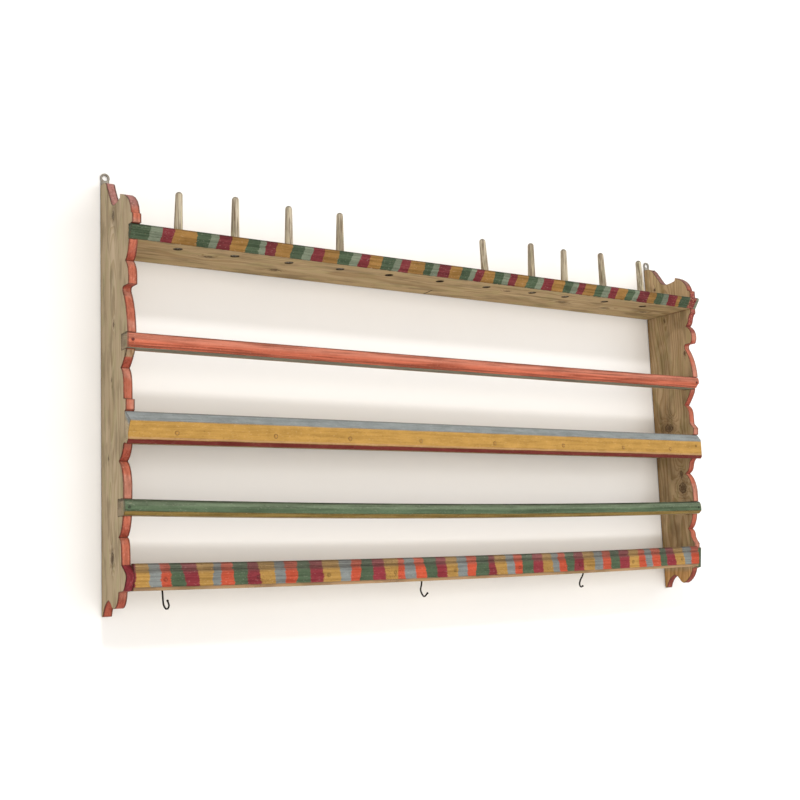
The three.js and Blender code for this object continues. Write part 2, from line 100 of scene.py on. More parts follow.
# Where each painted stripe starts, in millimetres from the left outer face
NOSE_STRIPES = {
    "crimson": [60, 179, 281, 389, 500, 605, 705, 807, 904, 1003, 1112, 1214, 1312, 1415, 1491],
    "ochre": [83, 204, 306, 416, 526, 630, 735, 828, 926, 1035, 1135, 1240, 1346, 1444],
    "green": [-1, 131, 238, 339, 451, 557, 665, 766, 858, 957, 1067, 1169, 1272, 1371, 1457],
    "sage": [35, 161, 268, 367, 479, 586, 688, 791, 884, 985, 1093, 1194, 1295, 1394, 1514],
}
LOW_STRIPES = {
    "crimson": [-2, 115, 246, 386, 533, 696, 834, 962, 1088, 1231, 1390],
    "ochre": [20, 143, 274, 414, 564, 721, 856, 992, 1116, 1261, 1418],
    "blue_grey": [45, 173, 307, 454, 611, 752, 887, 1019, 1151, 1315, 1450],
    "vermilion": [68, 189, 328, 480, 595, 638, 778, 909, 1039, 1176, 1293, 1337, 1474],
    "green": [87, 217, 357, 504, 665, 802, 931, 1062, 1203, 1366, 1503],
}

# The studio in metres from the middle between the hangers, with angles in degrees
CAMERA_PLACE = Vector((-1.55596, -2.23327, -0.78939))
CAMERA_YAW = 33.7853
CAMERA_PITCH = 8.0503
CAMERA_ROLL = -2.2199
AIM = Vector((0.0, 0.0, -0.4))
LAMPS = {
    "soft box": {
        "power": "key_power", "size": (0.4, 0.4), "colour": (1.0, 0.98, 0.96),
        "place": Vector((-0.8, -3.5, 2.35)),
    },
    "front light": {
        "power": "front_power", "size": (6.0, 3.4), "colour": (1.0, 0.96, 0.9),
        "place": Vector((0.0, -4.6, -0.85)),
    },
    "side light": {
        "power": "side_power", "size": (2.4, 1.8), "colour": (0.93, 0.96, 1.0),
        "place": Vector((2.9, -2.3, 0.6)),
    },
}
FLOOR = {"side": 6.0, "front": -8.0, "back": 4.0}
BACKDROP = {"side": 3.2, "gap": 0.002, "top": 1.9}
PALE = (0.86, 0.86, 0.86, 1.0)
ROOM_LIGHT = (1.0, 0.965, 0.92, 1.0)


def linear(hex_code):
    """A colour written as six hex digits, as the linear values that shaders use."""
    values = [int(hex_code[i : i + 2], 16) / 255 for i in (0, 2, 4)]
    return (*[v / 12.92 if v <= 0.04045 else ((v + 0.055) / 1.055) ** 2.4 for v in values], 1.0)


def toned(colour, red, green, blue):
    """The colour with its red, green and blue scaled."""
    return (*[value * factor for value, factor in zip(colour, (red, green, blue))], 1.0)


def painted_hole_shade(colours):
    """Painted shade inside a hole: the grime colour darkened, where little light comes."""
    return toned(colours.grime, 0.35, 0.35, 0.35)


def colour_property(name, hex_code, description):
    """A colour that the sidebar shows, from six hex digits."""
    return bpy.props.FloatVectorProperty(
        name=name, description=description, subtype="COLOR", size=4, min=0, max=1, default=linear(hex_code)
    )


class RackColours(bpy.types.PropertyGroup):
    """The woods, paints and metals of the rack."""

    pine_pale: colour_property("Pine, early wood", "bdaa8e", "Bare pine of the end boards' outer faces")
    pine_dark: colour_property("Pine, late wood", "9a8562", "Growth lines of the bare pine")
    shelf_pale: colour_property("Shelf pine, early wood", "bfa780", "Bare pine of the shelves")
    shelf_dark: colour_property("Shelf pine, late wood", "977a50", "Growth lines of the shelves")
    inner_pale: colour_property("Inner pine, early wood", "baa17e", "Bare pine inside the end boards")
    inner_dark: colour_property("Inner pine, late wood", "8b6e48", "Growth lines inside the end boards")
    knot: colour_property("Knot", "38231a", "Bark and heart of the knots")
    peg_pale: colour_property("Peg wood, pale", "b7ae9c", "Whittled pegs")
    peg_dark: colour_property("Peg wood, dark", "8c7d67", "Growth lines of the pegs")
    cut_pale: colour_property("Knife cut, pale", "cbbd9c", "High fibres between the pegs' knife cuts")
    cut_dark: colour_property("Knife cut, dark", "5f4c36", "Dirt in the pegs' knife cuts")
    peg_tip: colour_property("Peg tip", "57524b", "Handled round tips of the pegs")
    coral: colour_property("Coral paint", "a45137", "Edges of the end boards and the upper rail")
    vermilion: colour_property("Vermilion paint", "b74626", "The reddest stripes of the bottom board")
    ochre: colour_property("Ochre paint", "a37e39", "Face of the middle board and the ochre stripes")
    green: colour_property("Green paint", "3e543a", "Lower rail and the green stripes")
    # Also the lower rail's painted highlight
    sage: colour_property("Sage paint", "74816d", "Pale stripes of the top shelf")
    blue_grey: colour_property("Blue-grey paint", "80888a", "Chamfers of the middle board and pale stripes")
    crimson: colour_property("Crimson paint", "741724", "Dark red stripes and the end of the left board")
    dark_red: colour_property("Dark red paint", "692118", "Lower chamfer of the middle board")
    olive: colour_property("Olive paint", "757664", "Undersides of the upper rail and the middle board")
    tan: colour_property("Tan", "9e7c5c", "Bare lower fillet of the bottom board, and rubbed paint")
    rose: colour_property("Dusky rose", "92635f", "Coral paint faded on the tops of the end boards")
    # Also mixed into the upper rail's upper part as a painted highlight
    faded: colour_property("Faded coral", "aa8171", "Coral paint where sun and hands have bleached it")
    dust: colour_property("Dust", "6c6d67", "Dust on the upper part of the bottom board")
    # Darkened, the grime also paints the shade inside the peg holes and on the pegs' ends
    grime: colour_property("Grime", "3a2c20", "Dirt in worn edges, joints, holes and cracks")
    iron: colour_property("Iron", "1a1817", "Hooks and nails")
    rust: colour_property("Rust", "3b2416", "Rust on the hooks and nails")
    zinc: colour_property("Zinc", "918d83", "Hanger straps")
    bloom: colour_property("Zinc bloom", "7d7468", "Dull patches of the hanger straps")


class RackSizes(bpy.types.PropertyGroup):
    """Sizes of the hand finish."""

    ring_width: bpy.props.FloatProperty(
        name="Ring width", description="Width of one growth ring, mm", default=2.6, min=0.5, max=10
    )
    edge_round: bpy.props.FloatProperty(
        name="Edge rounding", description="Radius of the worn round on each edge, mm", default=0.8,
        min=0.1, max=3,
    )


class RackStudio(bpy.types.PropertyGroup):
    """Light, floor and camera."""

    floor_height: bpy.props.FloatProperty(
        name="Floor height", description="Floor below the hangers", default=-2.05, unit="LENGTH"
    )
    key_power: bpy.props.FloatProperty(
        name="Main light", description="Power of the soft box above the camera", default=66, unit="POWER"
    )
    side_power: bpy.props.FloatProperty(
        name="Side light", description="Power of the broad light on the right", default=30, unit="POWER"
    )
    front_power: bpy.props.FloatProperty(
        name="Front light", description="Power of the wide light in front", default=150, unit="POWER"
    )
    fill_strength: bpy.props.FloatProperty(
        name="Fill", description="Strength of the room's light", default=0.5, min=0
    )
    lens: bpy.props.FloatProperty(
        name="Lens", description="Focal length of the camera", default=53.712, subtype="DISTANCE_CAMERA"
    )


class Wiring:
    """Adds nodes to one node tree and joins their sockets."""

    def __init__(self, tree):
        self.tree = tree

    def put(self, socket, value):
        """Links a socket to another socket, or sets its value."""
        if isinstance(value, bpy.types.NodeSocket):
            self.tree.links.new(value, socket)
        else:
            socket.default_value = value

    def add(self, kind, inputs=None, **settings):
        node = self.tree.nodes.new(kind)
        for name, value in settings.items():
            setattr(node, name, value)
        for name, value in (inputs or {}).items():
            self.put(node.inputs[name], value)
        return node

    def math(self, operation, *values, clamp=False):
        node = self.add("ShaderNodeMath", operation=operation, use_clamp=clamp)
        for socket, value in zip(node.inputs, values):
            self.put(socket, value)
        return node.outputs[0]

    def times(self, value, factor):
        return self.math("MULTIPLY", value, factor)

    def plus(self, first, second):
        return self.math("ADD", first, second)

    def minus(self, first, second):
        return self.math("SUBTRACT", first, second)

    def vector(self, operation, *values):
        node = self.add("ShaderNodeVectorMath", operation=operation)
        for socket, value in zip(node.inputs, values):
            self.put(socket, value)
        return node.outputs["Value" if operation in ("LENGTH", "DOT_PRODUCT") else "Vector"]

    def ramp(self, value, low, high, to_low=0.0, to_high=1.0):
        """A smooth step of value between low and high."""
        names = {"Value": value, "From Min": low, "From Max": high, "To Min": to_low, "To Max": to_high}
        return self.add("ShaderNodeMapRange", names, interpolation_type="SMOOTHSTEP").outputs[0]

    def above(self, value, limit, soft=0.6):
        """1 where value is above limit."""
        return self.ramp(value, limit - soft, limit + soft)

    def mix(self, factor, first, second, blend="MIX"):
        node = self.add("ShaderNodeMix", data_type="RGBA", blend_type=blend)
        for index, value in ((0, factor), (6, first), (7, second)):
            self.put(node.inputs[index], value)
        return node.outputs[2]

    def tint(self, colour, red, green, blue):
        """The colour with its red, green and blue scaled."""
        return self.mix(1.0, colour, (red, green, blue, 1.0), "MULTIPLY")

    def noise(self, place, scale=1.0, detail=3.0, output=0, stretch=None):
        """Noise over a place in millimetres; stretch scales the place along each axis first."""
        if stretch:
            place = self.vector("MULTIPLY", place, stretch)
        node = self.add(
            "ShaderNodeTexNoise", {"Vector": place, "Scale": scale, "Detail": detail, "Roughness": 0.55}
        )
        return node.outputs[output]

    def both(self, *masks):
        """Where all the masks are set."""
        result = masks[0]
        for mask in masks[1:]:
            result = self.times(result, mask)
        return result

    def either(self, *masks):
        """Where any of the masks is set."""
        result = masks[0]
        for mask in masks[1:]:
            result = self.math("MAXIMUM", result, mask)
        return result

    def no(self, mask):
        """Where the mask isn't set."""
        return self.minus(1.0, mask)

    def parts(self, vector):
        return self.add("ShaderNodeSeparateXYZ", {"Vector": vector}).outputs[:]

    def join(self, x, y, z):
        return self.add("ShaderNodeCombineXYZ", {"X": x, "Y": y, "Z": z}).outputs[0]

    def group(self, tree, **inputs):
        """Places a node group; ring_width, say, goes to its input Ring width."""
        node = self.add("ShaderNodeGroup", node_tree=tree)
        for name, value in inputs.items():
            self.put(node.inputs[name.replace("_", " ").capitalize()], value)
        return {output.name: output for output in node.outputs}


# What kind of socket a default of each type asks for
SOCKETS = {float: "NodeSocketFloat", tuple: "NodeSocketColor", Vector: "NodeSocketVector"}


def new_group(name, inputs, outputs):
    """A shader node group whose sockets take their kind from their defaults."""
    tree = bpy.data.node_groups.new(name, "ShaderNodeTree")
    for label, default in inputs.items():
        socket = tree.interface.new_socket(label, in_out="INPUT", socket_type=SOCKETS[type(default)])
        socket.default_value = default
    for label, kind in outputs.items():
        tree.interface.new_socket(label, in_out="OUTPUT", socket_type=SOCKETS[kind])
    wire = Wiring(tree)
    given = wire.add("NodeGroupInput").outputs
    made = wire.add("NodeGroupOutput").inputs
    return tree, wire, given, made


def place_group():
    """Where a point of the rack is, in millimetres, on the piece as it was before it sagged."""
    tree, wire, given, made = new_group(
        "Place on the rack", {"Sag": 0.0, "Fall": 0.0},
        {"Place": Vector, "From left": float, "Depth": float, "Height": float},
    )
    x, y, z = wire.parts(wire.add("ShaderNodeTexCoord").outputs["Object"])
    left = wire.math("MULTIPLY_ADD", x, 1000.0, WIDTH / 2)
    depth = wire.times(y, -1000.0)
    share = wire.math("DIVIDE", x, (WIDTH / 2 - BOARD) * MM)
    bow = wire.math("MAXIMUM", wire.no(wire.times(share, share)), 0.0)
    height = wire.math("MULTIPLY_ADD", z, 1000.0, HANGER_HEIGHT)
    height = wire.plus(height, wire.times(bow, given["Sag"]))
    height = wire.plus(height, wire.times(wire.math("DIVIDE", left, WIDTH), given["Fall"]))
    wire.put(made["Place"], wire.join(left, depth, height))
    wire.put(made["From left"], left)
    wire.put(made["Depth"], depth)
    wire.put(made["Height"], height)
    return tree


def edge_group():
    """Where a surface turns, 1 on a corner and 0 on a flat, and a normal that rounds its corners."""
    tree, wire, given, made = new_group(
        "Worn corners", {"Radius": 0.001, "Reach": 0.003}, {"Edge": float, "Normal": Vector}
    )
    rounded = wire.add("ShaderNodeBevel", {"Radius": given["Radius"]}, samples=6).outputs[0]
    broad = wire.add("ShaderNodeBevel", {"Radius": given["Reach"]}, samples=6).outputs[0]
    flat = wire.add("ShaderNodeNewGeometry").outputs["Normal"]
    wire.put(made["Edge"], wire.ramp(wire.vector("DOT_PRODUCT", broad, flat), 0.997, 0.92))
    wire.put(made["Normal"], rounded)
    return tree


def grain_group():
    """Flat-sawn pine: growth rings round a pith, fibres along X of the given place, and old streaks."""
    tree, wire, given, made = new_group(
        "Pine grain",
        {
            "Place": Vector(), "Pith": Vector((0, 30, -80)), "Ring width": 2.6, "Swell": 0.0,
            "Early wood": (0.5, 0.4, 0.3, 1.0), "Late wood": (0.3, 0.2, 0.1, 1.0),
            "Contrast": 0.7, "Wander": 20.0,
        },
        {"Colour": tuple, "Height": float},
    )
    place = given["Place"]
    drift = wire.noise(place, stretch=(0.0022, 0.008, 0.008), detail=2.0, output=1)
    drift = wire.vector("MULTIPLY", wire.vector("SUBTRACT", drift, (0.5, 0.5, 0.5)), (0.0, 2.0, 2.0))
    drift = wire.vector("MULTIPLY", drift, wire.join(given["Wander"], given["Wander"], given["Wander"]))
    from_pith = wire.vector("ADD", wire.vector("SUBTRACT", place, given["Pith"]), drift)
    radius = wire.vector("LENGTH", wire.vector("MULTIPLY", from_pith, (0.0, 1.0, 1.0)))
    radius = wire.plus(radius, given["Swell"])
    years = wire.noise(wire.join(wire.times(radius, 0.05), 0.3, 0.7), detail=1.0)
    year = wire.math("DIVIDE", radius, given["Ring width"])
    year = wire.math("FRACT", wire.plus(year, wire.times(years, 5.0)))
    late = wire.times(wire.ramp(year, 0.35, 0.9), wire.ramp(year, 1.0, 0.93))
    fibre = wire.noise(place, stretch=(0.03, 1.6, 1.6), detail=4.0)
    streak = wire.noise(place, stretch=(0.0035, 0.05, 0.05))
    resin = wire.ramp(wire.noise(place, stretch=(0.05, 0.9, 0.9), detail=2.0), 0.7, 0.78)
    stain = wire.noise(place, stretch=(0.011, 0.04, 0.04), detail=5.0)
    elsewhere = wire.vector("ADD", place, (90.0, 40.0, 70.0))
    moss = wire.ramp(wire.noise(elsewhere, stretch=(0.02, 0.06, 0.06)), 0.5, 0.64)
    colour = wire.mix(wire.times(late, given["Contrast"]), given["Early wood"], given["Late wood"])
    colour = wire.mix(wire.ramp(fibre, 0.3, 0.75, 0.0, 0.3), colour, given["Late wood"])
    colour = wire.mix(wire.ramp(streak, 0.5, 0.72, 0.0, 0.45), colour, given["Late wood"])
    colour = wire.mix(wire.times(resin, 0.35), colour, (0.09, 0.05, 0.025, 1))
    colour = wire.mix(wire.ramp(streak, 0.48, 0.3, 0.0, 0.5), colour, wire.tint(colour, 1.28, 1.3, 1.36))
    colour = wire.mix(wire.ramp(stain, 0.47, 0.64, 0.0, 0.85), colour, wire.tint(colour, 0.64, 0.63, 0.6))
    colour = wire.mix(wire.times(moss, 0.5), colour, wire.tint(colour, 0.9, 1.02, 0.86))
    wire.put(made["Colour"], colour)
    wire.put(made["Height"], wire.plus(wire.times(late, 0.6), wire.times(fibre, 0.5)))
    return tree


def knot_group():
    """One knot: its dark wood, bark ring and torn grain, and how far it pushes the growth rings aside."""
    tree, wire, given, made = new_group(
        "Knot", {"Place": Vector(), "Centre": Vector(), "Size": 8.0, "Length": PLAIN_KNOT},
        {"Knot": float, "Swell": float},
    )
    size = given["Size"]
    wobble = wire.vector("SUBTRACT", wire.noise(given["Place"], 0.16, output=1), (0.5, 0.5, 0.5))
    offset = wire.vector("SUBTRACT", given["Place"], given["Centre"])
    offset = wire.vector("ADD", offset, wire.vector("MULTIPLY", wobble, (11.0, 9.0, 0.0)))
    along, across, _ = wire.parts(offset)
    along = wire.math("DIVIDE", wire.math("ABSOLUTE", along), size)
    across = wire.math("DIVIDE", wire.math("ABSOLUTE", across), size)
    squeezed = wire.vector("MULTIPLY", offset, wire.join(given["Length"], 1.0, 0.0))
    share = wire.math("DIVIDE", wire.vector("LENGTH", squeezed), size)
    torn = wire.noise(given["Place"], stretch=(0.12, 0.7, 0.7), detail=4.0)
    core = wire.times(wire.ramp(share, 0.5, 0.3), wire.ramp(torn, 0.35, 0.6, 0.55, 1.0))
    bark = wire.both(wire.ramp(share, 0.34, 0.46), wire.ramp(share, 0.64, 0.52), wire.ramp(torn, 0.3, 0.5))
    halo = wire.times(wire.ramp(share, 1.3, 0.5), 0.3)
    tail = wire.both(wire.ramp(across, 0.42, 0.05), wire.ramp(along, 3.4, 0.7), wire.ramp(torn, 0.42, 0.6))
    wire.put(made["Knot"], wire.either(core, bark, halo, wire.times(tail, 0.75)))
    push = wire.math("POWER", math.e, wire.times(wire.times(share, share), -0.8))
    wire.put(made["Swell"], wire.times(wire.times(push, size), 0.9))
    return tree


def paint_group():
    """Old brushed paint: brush hairs along X of the given place, uneven tone, wear and dirty edges."""
    tree, wire, given, made = new_group(
        "Brushed paint",
        {
            "Place": Vector(), "Wood": (0.4, 0.3, 0.2, 1.0), "Paint": (0.5, 0.1, 0.1, 1.0),
            "Grime": (0.05, 0.03, 0.02, 1.0), "Cover": 1.0, "Edge": 0.0, "Wear": 0.3, "Cloud": 0.25,
            "Streak": 0.4, "Line": 0.0,
        },
        {"Colour": tuple, "Film": float, "Height": float},
    )
    place, paint, wear = given["Place"], given["Paint"], given["Wear"]
    hairs = wire.noise(place, stretch=(0.025, 0.9, 0.9))
    cloud = wire.noise(place, stretch=(0.03, 0.07, 0.07), detail=4.0)
    fleck = wire.noise(place, stretch=(0.16, 0.5, 0.5), detail=5.0)
    strokes = wire.noise(place, stretch=(0.006, 0.22, 0.22), detail=5.0)
    specks = wire.noise(place, stretch=(0.2, 0.4, 0.4))
    tone = wire.plus(wire.times(hairs, 0.45), wire.times(cloud, 0.75))
    dark = wire.tint(paint, 0.6, 0.55, 0.52)
    bright = wire.tint(paint, 1.4, 1.35, 1.3)
    pale = wire.mix(0.04, bright, (0.8, 0.74, 0.66, 1))
    chalk = wire.mix(0.3, bright, (0.75, 0.68, 0.58, 1))
    colour = wire.mix(given["Cloud"], paint, wire.mix(wire.ramp(tone, 0.35, 0.85), dark, pale))
    stroke = wire.mix(wire.ramp(strokes, 0.38, 0.62), wire.tint(colour, 0.66, 0.62, 0.6), pale)
    colour = wire.mix(given["Streak"], colour, stroke)
    colour = wire.mix(wire.times(wire.ramp(specks, 0.6, 0.7), wire.times(wear, 0.9)), colour, chalk)
    worn = wire.times(wire.ramp(specks, 0.4, 0.3), wear)
    colour = wire.mix(worn, colour, wire.tint(colour, 0.35, 0.3, 0.3))
    loss = wire.math("MULTIPLY_ADD", given["Edge"], 0.2, fleck)
    loss = wire.plus(loss, wire.times(hairs, 0.12))
    limit = wire.math("MULTIPLY_ADD", wear, -0.3, 0.88)
    bare = wire.ramp(wire.minus(loss, limit), -0.01, 0.05)
    film = wire.times(given["Cover"], wire.no(bare))
    dirty = wire.mix(wire.times(bare, 0.4), given["Wood"], given["Grime"])
    colour = wire.mix(film, dirty, colour)
    line = wire.either(given["Line"], wire.times(given["Edge"], given["Cover"]))
    line = wire.times(line, wire.ramp(cloud, 0.3, 0.62, 0.5, 1.0))
    wire.put(made["Colour"], wire.mix(line, colour, wire.tint(colour, 0.3, 0.27, 0.27)))
    wire.put(made["Film"], film)
    wire.put(made["Height"], wire.plus(film, wire.times(wire.times(hairs, film), 0.8)))
    return tree


def stripe_group(name, starts, paints, slant, level, seed, tone, frayed):
    """Hand-painted stripes across a moulding, with edges that lean and waver with the brush.

    They lean by slant and a little more, and stand true at level. Tone below 1 makes them darker,
    and frayed is how far their edges run, in millimetres.
    """
    tree, wire, given, made = new_group(
        name, {"From left": 0.0, "Height": 0.0, "Place": Vector()}, {"Colour": tuple}
    )
    waver = wire.minus(wire.noise(given["Place"], stretch=(0.02, 0.12, 0.12), detail=2.0), 0.5)
    bristle = wire.minus(wire.noise(given["Place"], stretch=(0.05, 0.9, 0.9)), 0.5)
    along = wire.math("MULTIPLY_ADD", waver, 7.0, given["From left"])
    along = wire.math("MULTIPLY_ADD", bristle, frayed, along)
    lean = wire.noise(wire.join(given["From left"], 0.0, 0.0), 0.013, 1.0)
    lean = wire.math("MULTIPLY_ADD", lean, 1.1, slant)
    along = wire.math("MULTIPLY_ADD", wire.minus(given["Height"], level), lean, along)
    dice = random.Random(seed)
    bands = sorted((start, paint) for paint, places in starts.items() for start in places)
    half = (len(bands) + 1) // 2
    ramps = []
    for chunk in (bands[:half], bands[half:]):
        first, last = chunk[0][0] - 30.0, chunk[-1][0] + 60.0
        share = wire.math("DIVIDE", wire.minus(along, first), last - first, clamp=True)
        node = wire.add("ShaderNodeValToRGB", {"Fac": share})
        stops = node.color_ramp
        stops.interpolation = "CONSTANT"
        while len(stops.elements) < len(chunk):
            stops.elements.new(1.0)
        for i, (start, paint) in enumerate(chunk):
            shade = dice.uniform(0.86, 1.1) * tone
            stops.elements[i].position = 0.0 if i == 0 else (start - first) / (last - first)
            stops.elements[i].color = (*[min(1.0, value * shade) for value in paints[paint][:3]], 1.0)
        ramps.append(node.outputs[0])
    right_half = wire.math("GREATER_THAN", along, float(bands[half][0]))
    wire.put(made["Colour"], wire.mix(right_half, *ramps))
    return tree


# The node groups that have been built, by name
GROUPS = {}


def shared(name, maker, *arguments, **settings):
    """A node group, built the first time that it is asked for."""
    if name not in GROUPS:
        GROUPS[name] = maker(*arguments, **settings)
    return GROUPS[name]


class Finish:
    """One material: its wiring, its place on the rack and its shader."""

    def __init__(self, name, sag=0.0, fall=0.0, upright=False):
        self.material = bpy.data.materials.new(name)
        self.material.use_nodes = True
        tree = self.material.node_tree
        tree.nodes.clear()
        self.wire = Wiring(tree)
        spot = self.wire.group(shared("place", place_group), sag=sag, fall=fall)
        self.left, self.depth, self.height = spot["From left"], spot["Depth"], spot["Height"]
        self.place = spot["Place"]
        self.grain_place = self.wire.join(self.height, self.depth, self.left) if upright else self.place
        radius = bpy.context.scene.rack_sizes.edge_round * MM
        corners = self.wire.group(shared("edge", edge_group), radius=radius)
        self.edge, self.round_normal = corners["Edge"], corners["Normal"]
        normal = self.wire.add("ShaderNodeNewGeometry").outputs["Normal"]
        self.nx, self.ny, self.nz = self.wire.parts(normal)

    def pine(self, pale, dark, pith, knots=(), contrast=0.7, wander=20.0, ring_width=None):
        """The colour and relief of bare pine with its knots.

        Pith is the place of the tree's heart: depth and height, or in an upright piece depth and place
        from the left. Contrast is how dark the growth lines are, and wander is how far they stray in
        millimetres.
        """
        wire = self.wire
        swell, mask = 0.0, 0.0
        for along, across, size, *short in knots:
            knot = wire.group(
                shared("knot", knot_group), place=self.grain_place, centre=Vector((along, across, 0)),
                size=size, length=short[0] if short else PLAIN_KNOT,
            )
            swell = wire.plus(swell, knot["Swell"])
            mask = wire.either(mask, knot["Knot"])
        grain = wire.group(
            shared("grain", grain_group), place=self.grain_place, pith=Vector((0, *pith)),
            ring_width=ring_width or bpy.context.scene.rack_sizes.ring_width, swell=swell,
            early_wood=pale, late_wood=dark, contrast=contrast, wander=wander,
        )
        colour = grain["Colour"]
        if knots:
            colour = wire.mix(wire.times(mask, 0.85), colour, bpy.context.scene.rack_colours.knot)
        return colour, grain["Height"]

    def under_paint(self, pith):
        """The colour of the pine where paint has worn off."""
        colours = bpy.context.scene.rack_colours
        return self.pine(colours.pine_pale, colours.pine_dark, pith, wander=12.0)[0]

    def paint(self, wood, paint, cover=1.0, wear=0.3, cloud=0.7, streak=0.4, line=0.0, place=None):
        """Brushed paint over wood where cover is 1, with dark lines where line is 1."""
        return self.wire.group(
            shared("paint", paint_group), place=place or self.place, wood=wood, paint=paint,
            grime=bpy.context.scene.rack_colours.grime, cover=cover, edge=self.edge, wear=wear,
            cloud=cloud, streak=streak, line=line,
        )

    def battered(self, paint):
        """The paint with specks of old coral and bare wood in it."""
        colours = bpy.context.scene.rack_colours
        specks = self.wire.ramp(self.wire.noise(self.place, 0.42, 2.0), 0.52, 0.58)
        return self.wire.mix(specks, paint, self.wire.mix(0.5, colours.coral, colours.tan))

    def wavering(self, value, amount=3.0, scale=None):
        """The value, uneven as a hand-drawn line is: in waves along the rack, or at a scale on all axes."""
        if scale:
            wave = self.wire.noise(self.place, scale)
        else:
            wave = self.wire.noise(self.place, stretch=(0.02, 0.2, 0.2))
        return self.wire.math("MULTIPLY_ADD", self.wire.minus(wave, 0.5), amount, value)

    def band(self, low, high, soft=0.6, value=None):
        """1 where the height, or another value, is between low and high."""
        value = self.height if value is None else value
        too_high = self.wire.above(value, high, soft)
        return self.wire.both(self.wire.above(value, low, soft), self.wire.no(too_high))

    def joint_line(self, nearest, low, high):
        """A dark joint round a rail let into a board, from the nearest depth outwards."""
        level = self.wavering(self.height, 3.0, 0.3)
        depth = self.wavering(self.depth, 3.0, 0.3)

        def notch(spread):
            """The rail's notch, larger all round by spread."""
            tall = self.band(low - spread, high + spread, 0.5, level)
            return self.wire.both(tall, self.wire.above(depth, nearest - spread, 0.5))

        return self.wire.both(notch(JOINT_LINE), self.wire.no(notch(-JOINT_LINE)))

    def seal(self, colour, height, rough, distance=0.15, metallic=0.0):
        """Ends the material in one shader, with its relief in millimetres."""
        wire = self.wire
        relief = {"Height": height, "Distance": distance * MM, "Strength": 1.0, "Normal": self.round_normal}
        shader = wire.add(
            "ShaderNodeBsdfPrincipled",
            {
                "Base Color": colour, "Roughness": rough, "Metallic": metallic, "Specular IOR Level": 0.2,
                "Normal": wire.add("ShaderNodeBump", relief).outputs[0],
            },
        )
        wire.put(wire.add("ShaderNodeOutputMaterial").inputs["Surface"], shader.outputs[0])
        return self.material


def sharp_edges_group():
    """Geometry nodes: joins a piece's loose corners, and smooths its shading except at sharp edges."""
    tree = bpy.data.node_groups.new("Mark sharp edges", "GeometryNodeTree")
    tree.interface.new_socket("Geometry", in_out="INPUT", socket_type="NodeSocketGeometry")
    tree.interface.new_socket("Geometry", in_out="OUTPUT", socket_type="NodeSocketGeometry")
    wire = Wiring(tree)
    given = wire.add("NodeGroupInput").outputs[0]
    welded = wire.add("GeometryNodeMergeByDistance", {"Geometry": given, "Distance": 0.00001}).outputs[0]
    angle = wire.add("GeometryNodeInputMeshEdgeAngle").outputs["Unsigned Angle"]
    sharp = wire.math("GREATER_THAN", angle, math.radians(SHARP_ANGLE))
    shading = {"Mesh": welded, "Remove Custom": True, "Edge Sharpness": sharp}
    marked = wire.add("GeometryNodeSetMeshNormal", shading, mode="SHARPNESS").outputs[0]
    wire.put(wire.add("NodeGroupOutput").inputs[0], marked)
    return tree


def dress(names, material):
    """Puts the material on the named pieces, and smooths their shading."""
    for name in names:
        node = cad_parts[name]
        node.data.materials.clear()
        node.data.materials.append(material)
        smooth = node.modifiers.new("Mark sharp edges", "NODES")
        smooth.node_group = shared("sharp edges", sharp_edges_group)


def pieces(*starts):
    """The names of all the pieces that start so."""
    return [name for name in sorted(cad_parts) if name.startswith(starts)]


def end_board_pine(finish, board, colours, outer, foot):
    """An end board's bare wood: warmer inside the rack, dirty at its corners and dark round the rails."""
    wire = finish.wire
    pale = wire.mix(outer, colours.inner_pale, colours.pine_pale)
    dark = wire.mix(outer, colours.inner_dark, colours.pine_dark)
    wood, grain = finish.pine(
        pale, dark, board["pith"], board["knots"], contrast=0.62, wander=30.0, ring_width=3.4
    )
    back = wire.ramp(finish.depth, 11.0, 4.0)
    wood = wire.mix(wire.times(back, 0.5), wood, dark)
    lines = []
    for rail in (UPPER_RAIL, LOWER_RAIL):
        fall = rail["fall"] * board["right"]
        lines.append(finish.joint_line(rail["back"], rail["low"] - fall, rail["high"] - fall))
    broken = wire.ramp(wire.noise(finish.place, 0.25), 0.35, 0.6)
    wood = wire.mix(wire.both(wire.either(*lines), outer, broken), wood, colours.grime)
    wood = wire.mix(wire.times(finish.edge, 0.4), wood, colours.grime)
    high_up = wire.above(finish.height, BATTERED_FROM, 4.0)
    lap = wire.both(finish.edge, high_up, wire.above(finish.depth, FRONT_EDGE_FROM, 3.0))
    wood = wire.mix(wire.times(lap, 0.8 * board["right"]), wood, colours.crimson)
    wood = wire.mix(wire.both(foot, wire.no(outer)), wood, wire.tint(wood, 1.3, 0.9, 0.45))
    return wood, grain


def end_board_paint(finish, board, colours, top, foot):
    """An end board's painted edges: patchy coral with painted shade below, rose on top, a stripe's end,
    battered on the right.
    """
    wire = finish.wire
    right = board["right"]
    patch = wire.ramp(wire.noise(finish.place, stretch=(0.02, 0.012, 0.021), detail=2.0), 0.42, 0.6)
    faded = wire.mix(0.62, colours.coral, colours.faded)
    paint = wire.mix(wire.ramp(patch, 0.0, 1.0, 0.2, 0.8), colours.coral, faded)
    # Painted shade: edge faces that turn downwards are darkened towards crimson
    underside_shade = wire.mix(0.3, colours.coral, colours.crimson)
    paint = wire.mix(wire.ramp(finish.nz, -0.1, -0.6), paint, underside_shade)
    rose = wire.mix(0.45 * right, colours.rose, colours.grime)
    paint = wire.mix(wire.times(top, 0.9), paint, rose)
    high_up = wire.times(wire.above(finish.height, BATTERED_FROM, 4.0), 0.85 * right)
    paint = wire.mix(wire.both(high_up, wire.no(top)), paint, finish.battered(colours.crimson))
    paint = wire.mix(foot, paint, colours.dark_red)
    stripe = finish.band(*board["stripe_ends"], 0.8, finish.wavering(finish.height, 5.0, 0.2))
    stripe = wire.both(stripe, wire.above(finish.depth, FRONT_EDGE_FROM))
    return wire.mix(stripe, paint, getattr(colours, board["stripe"]))


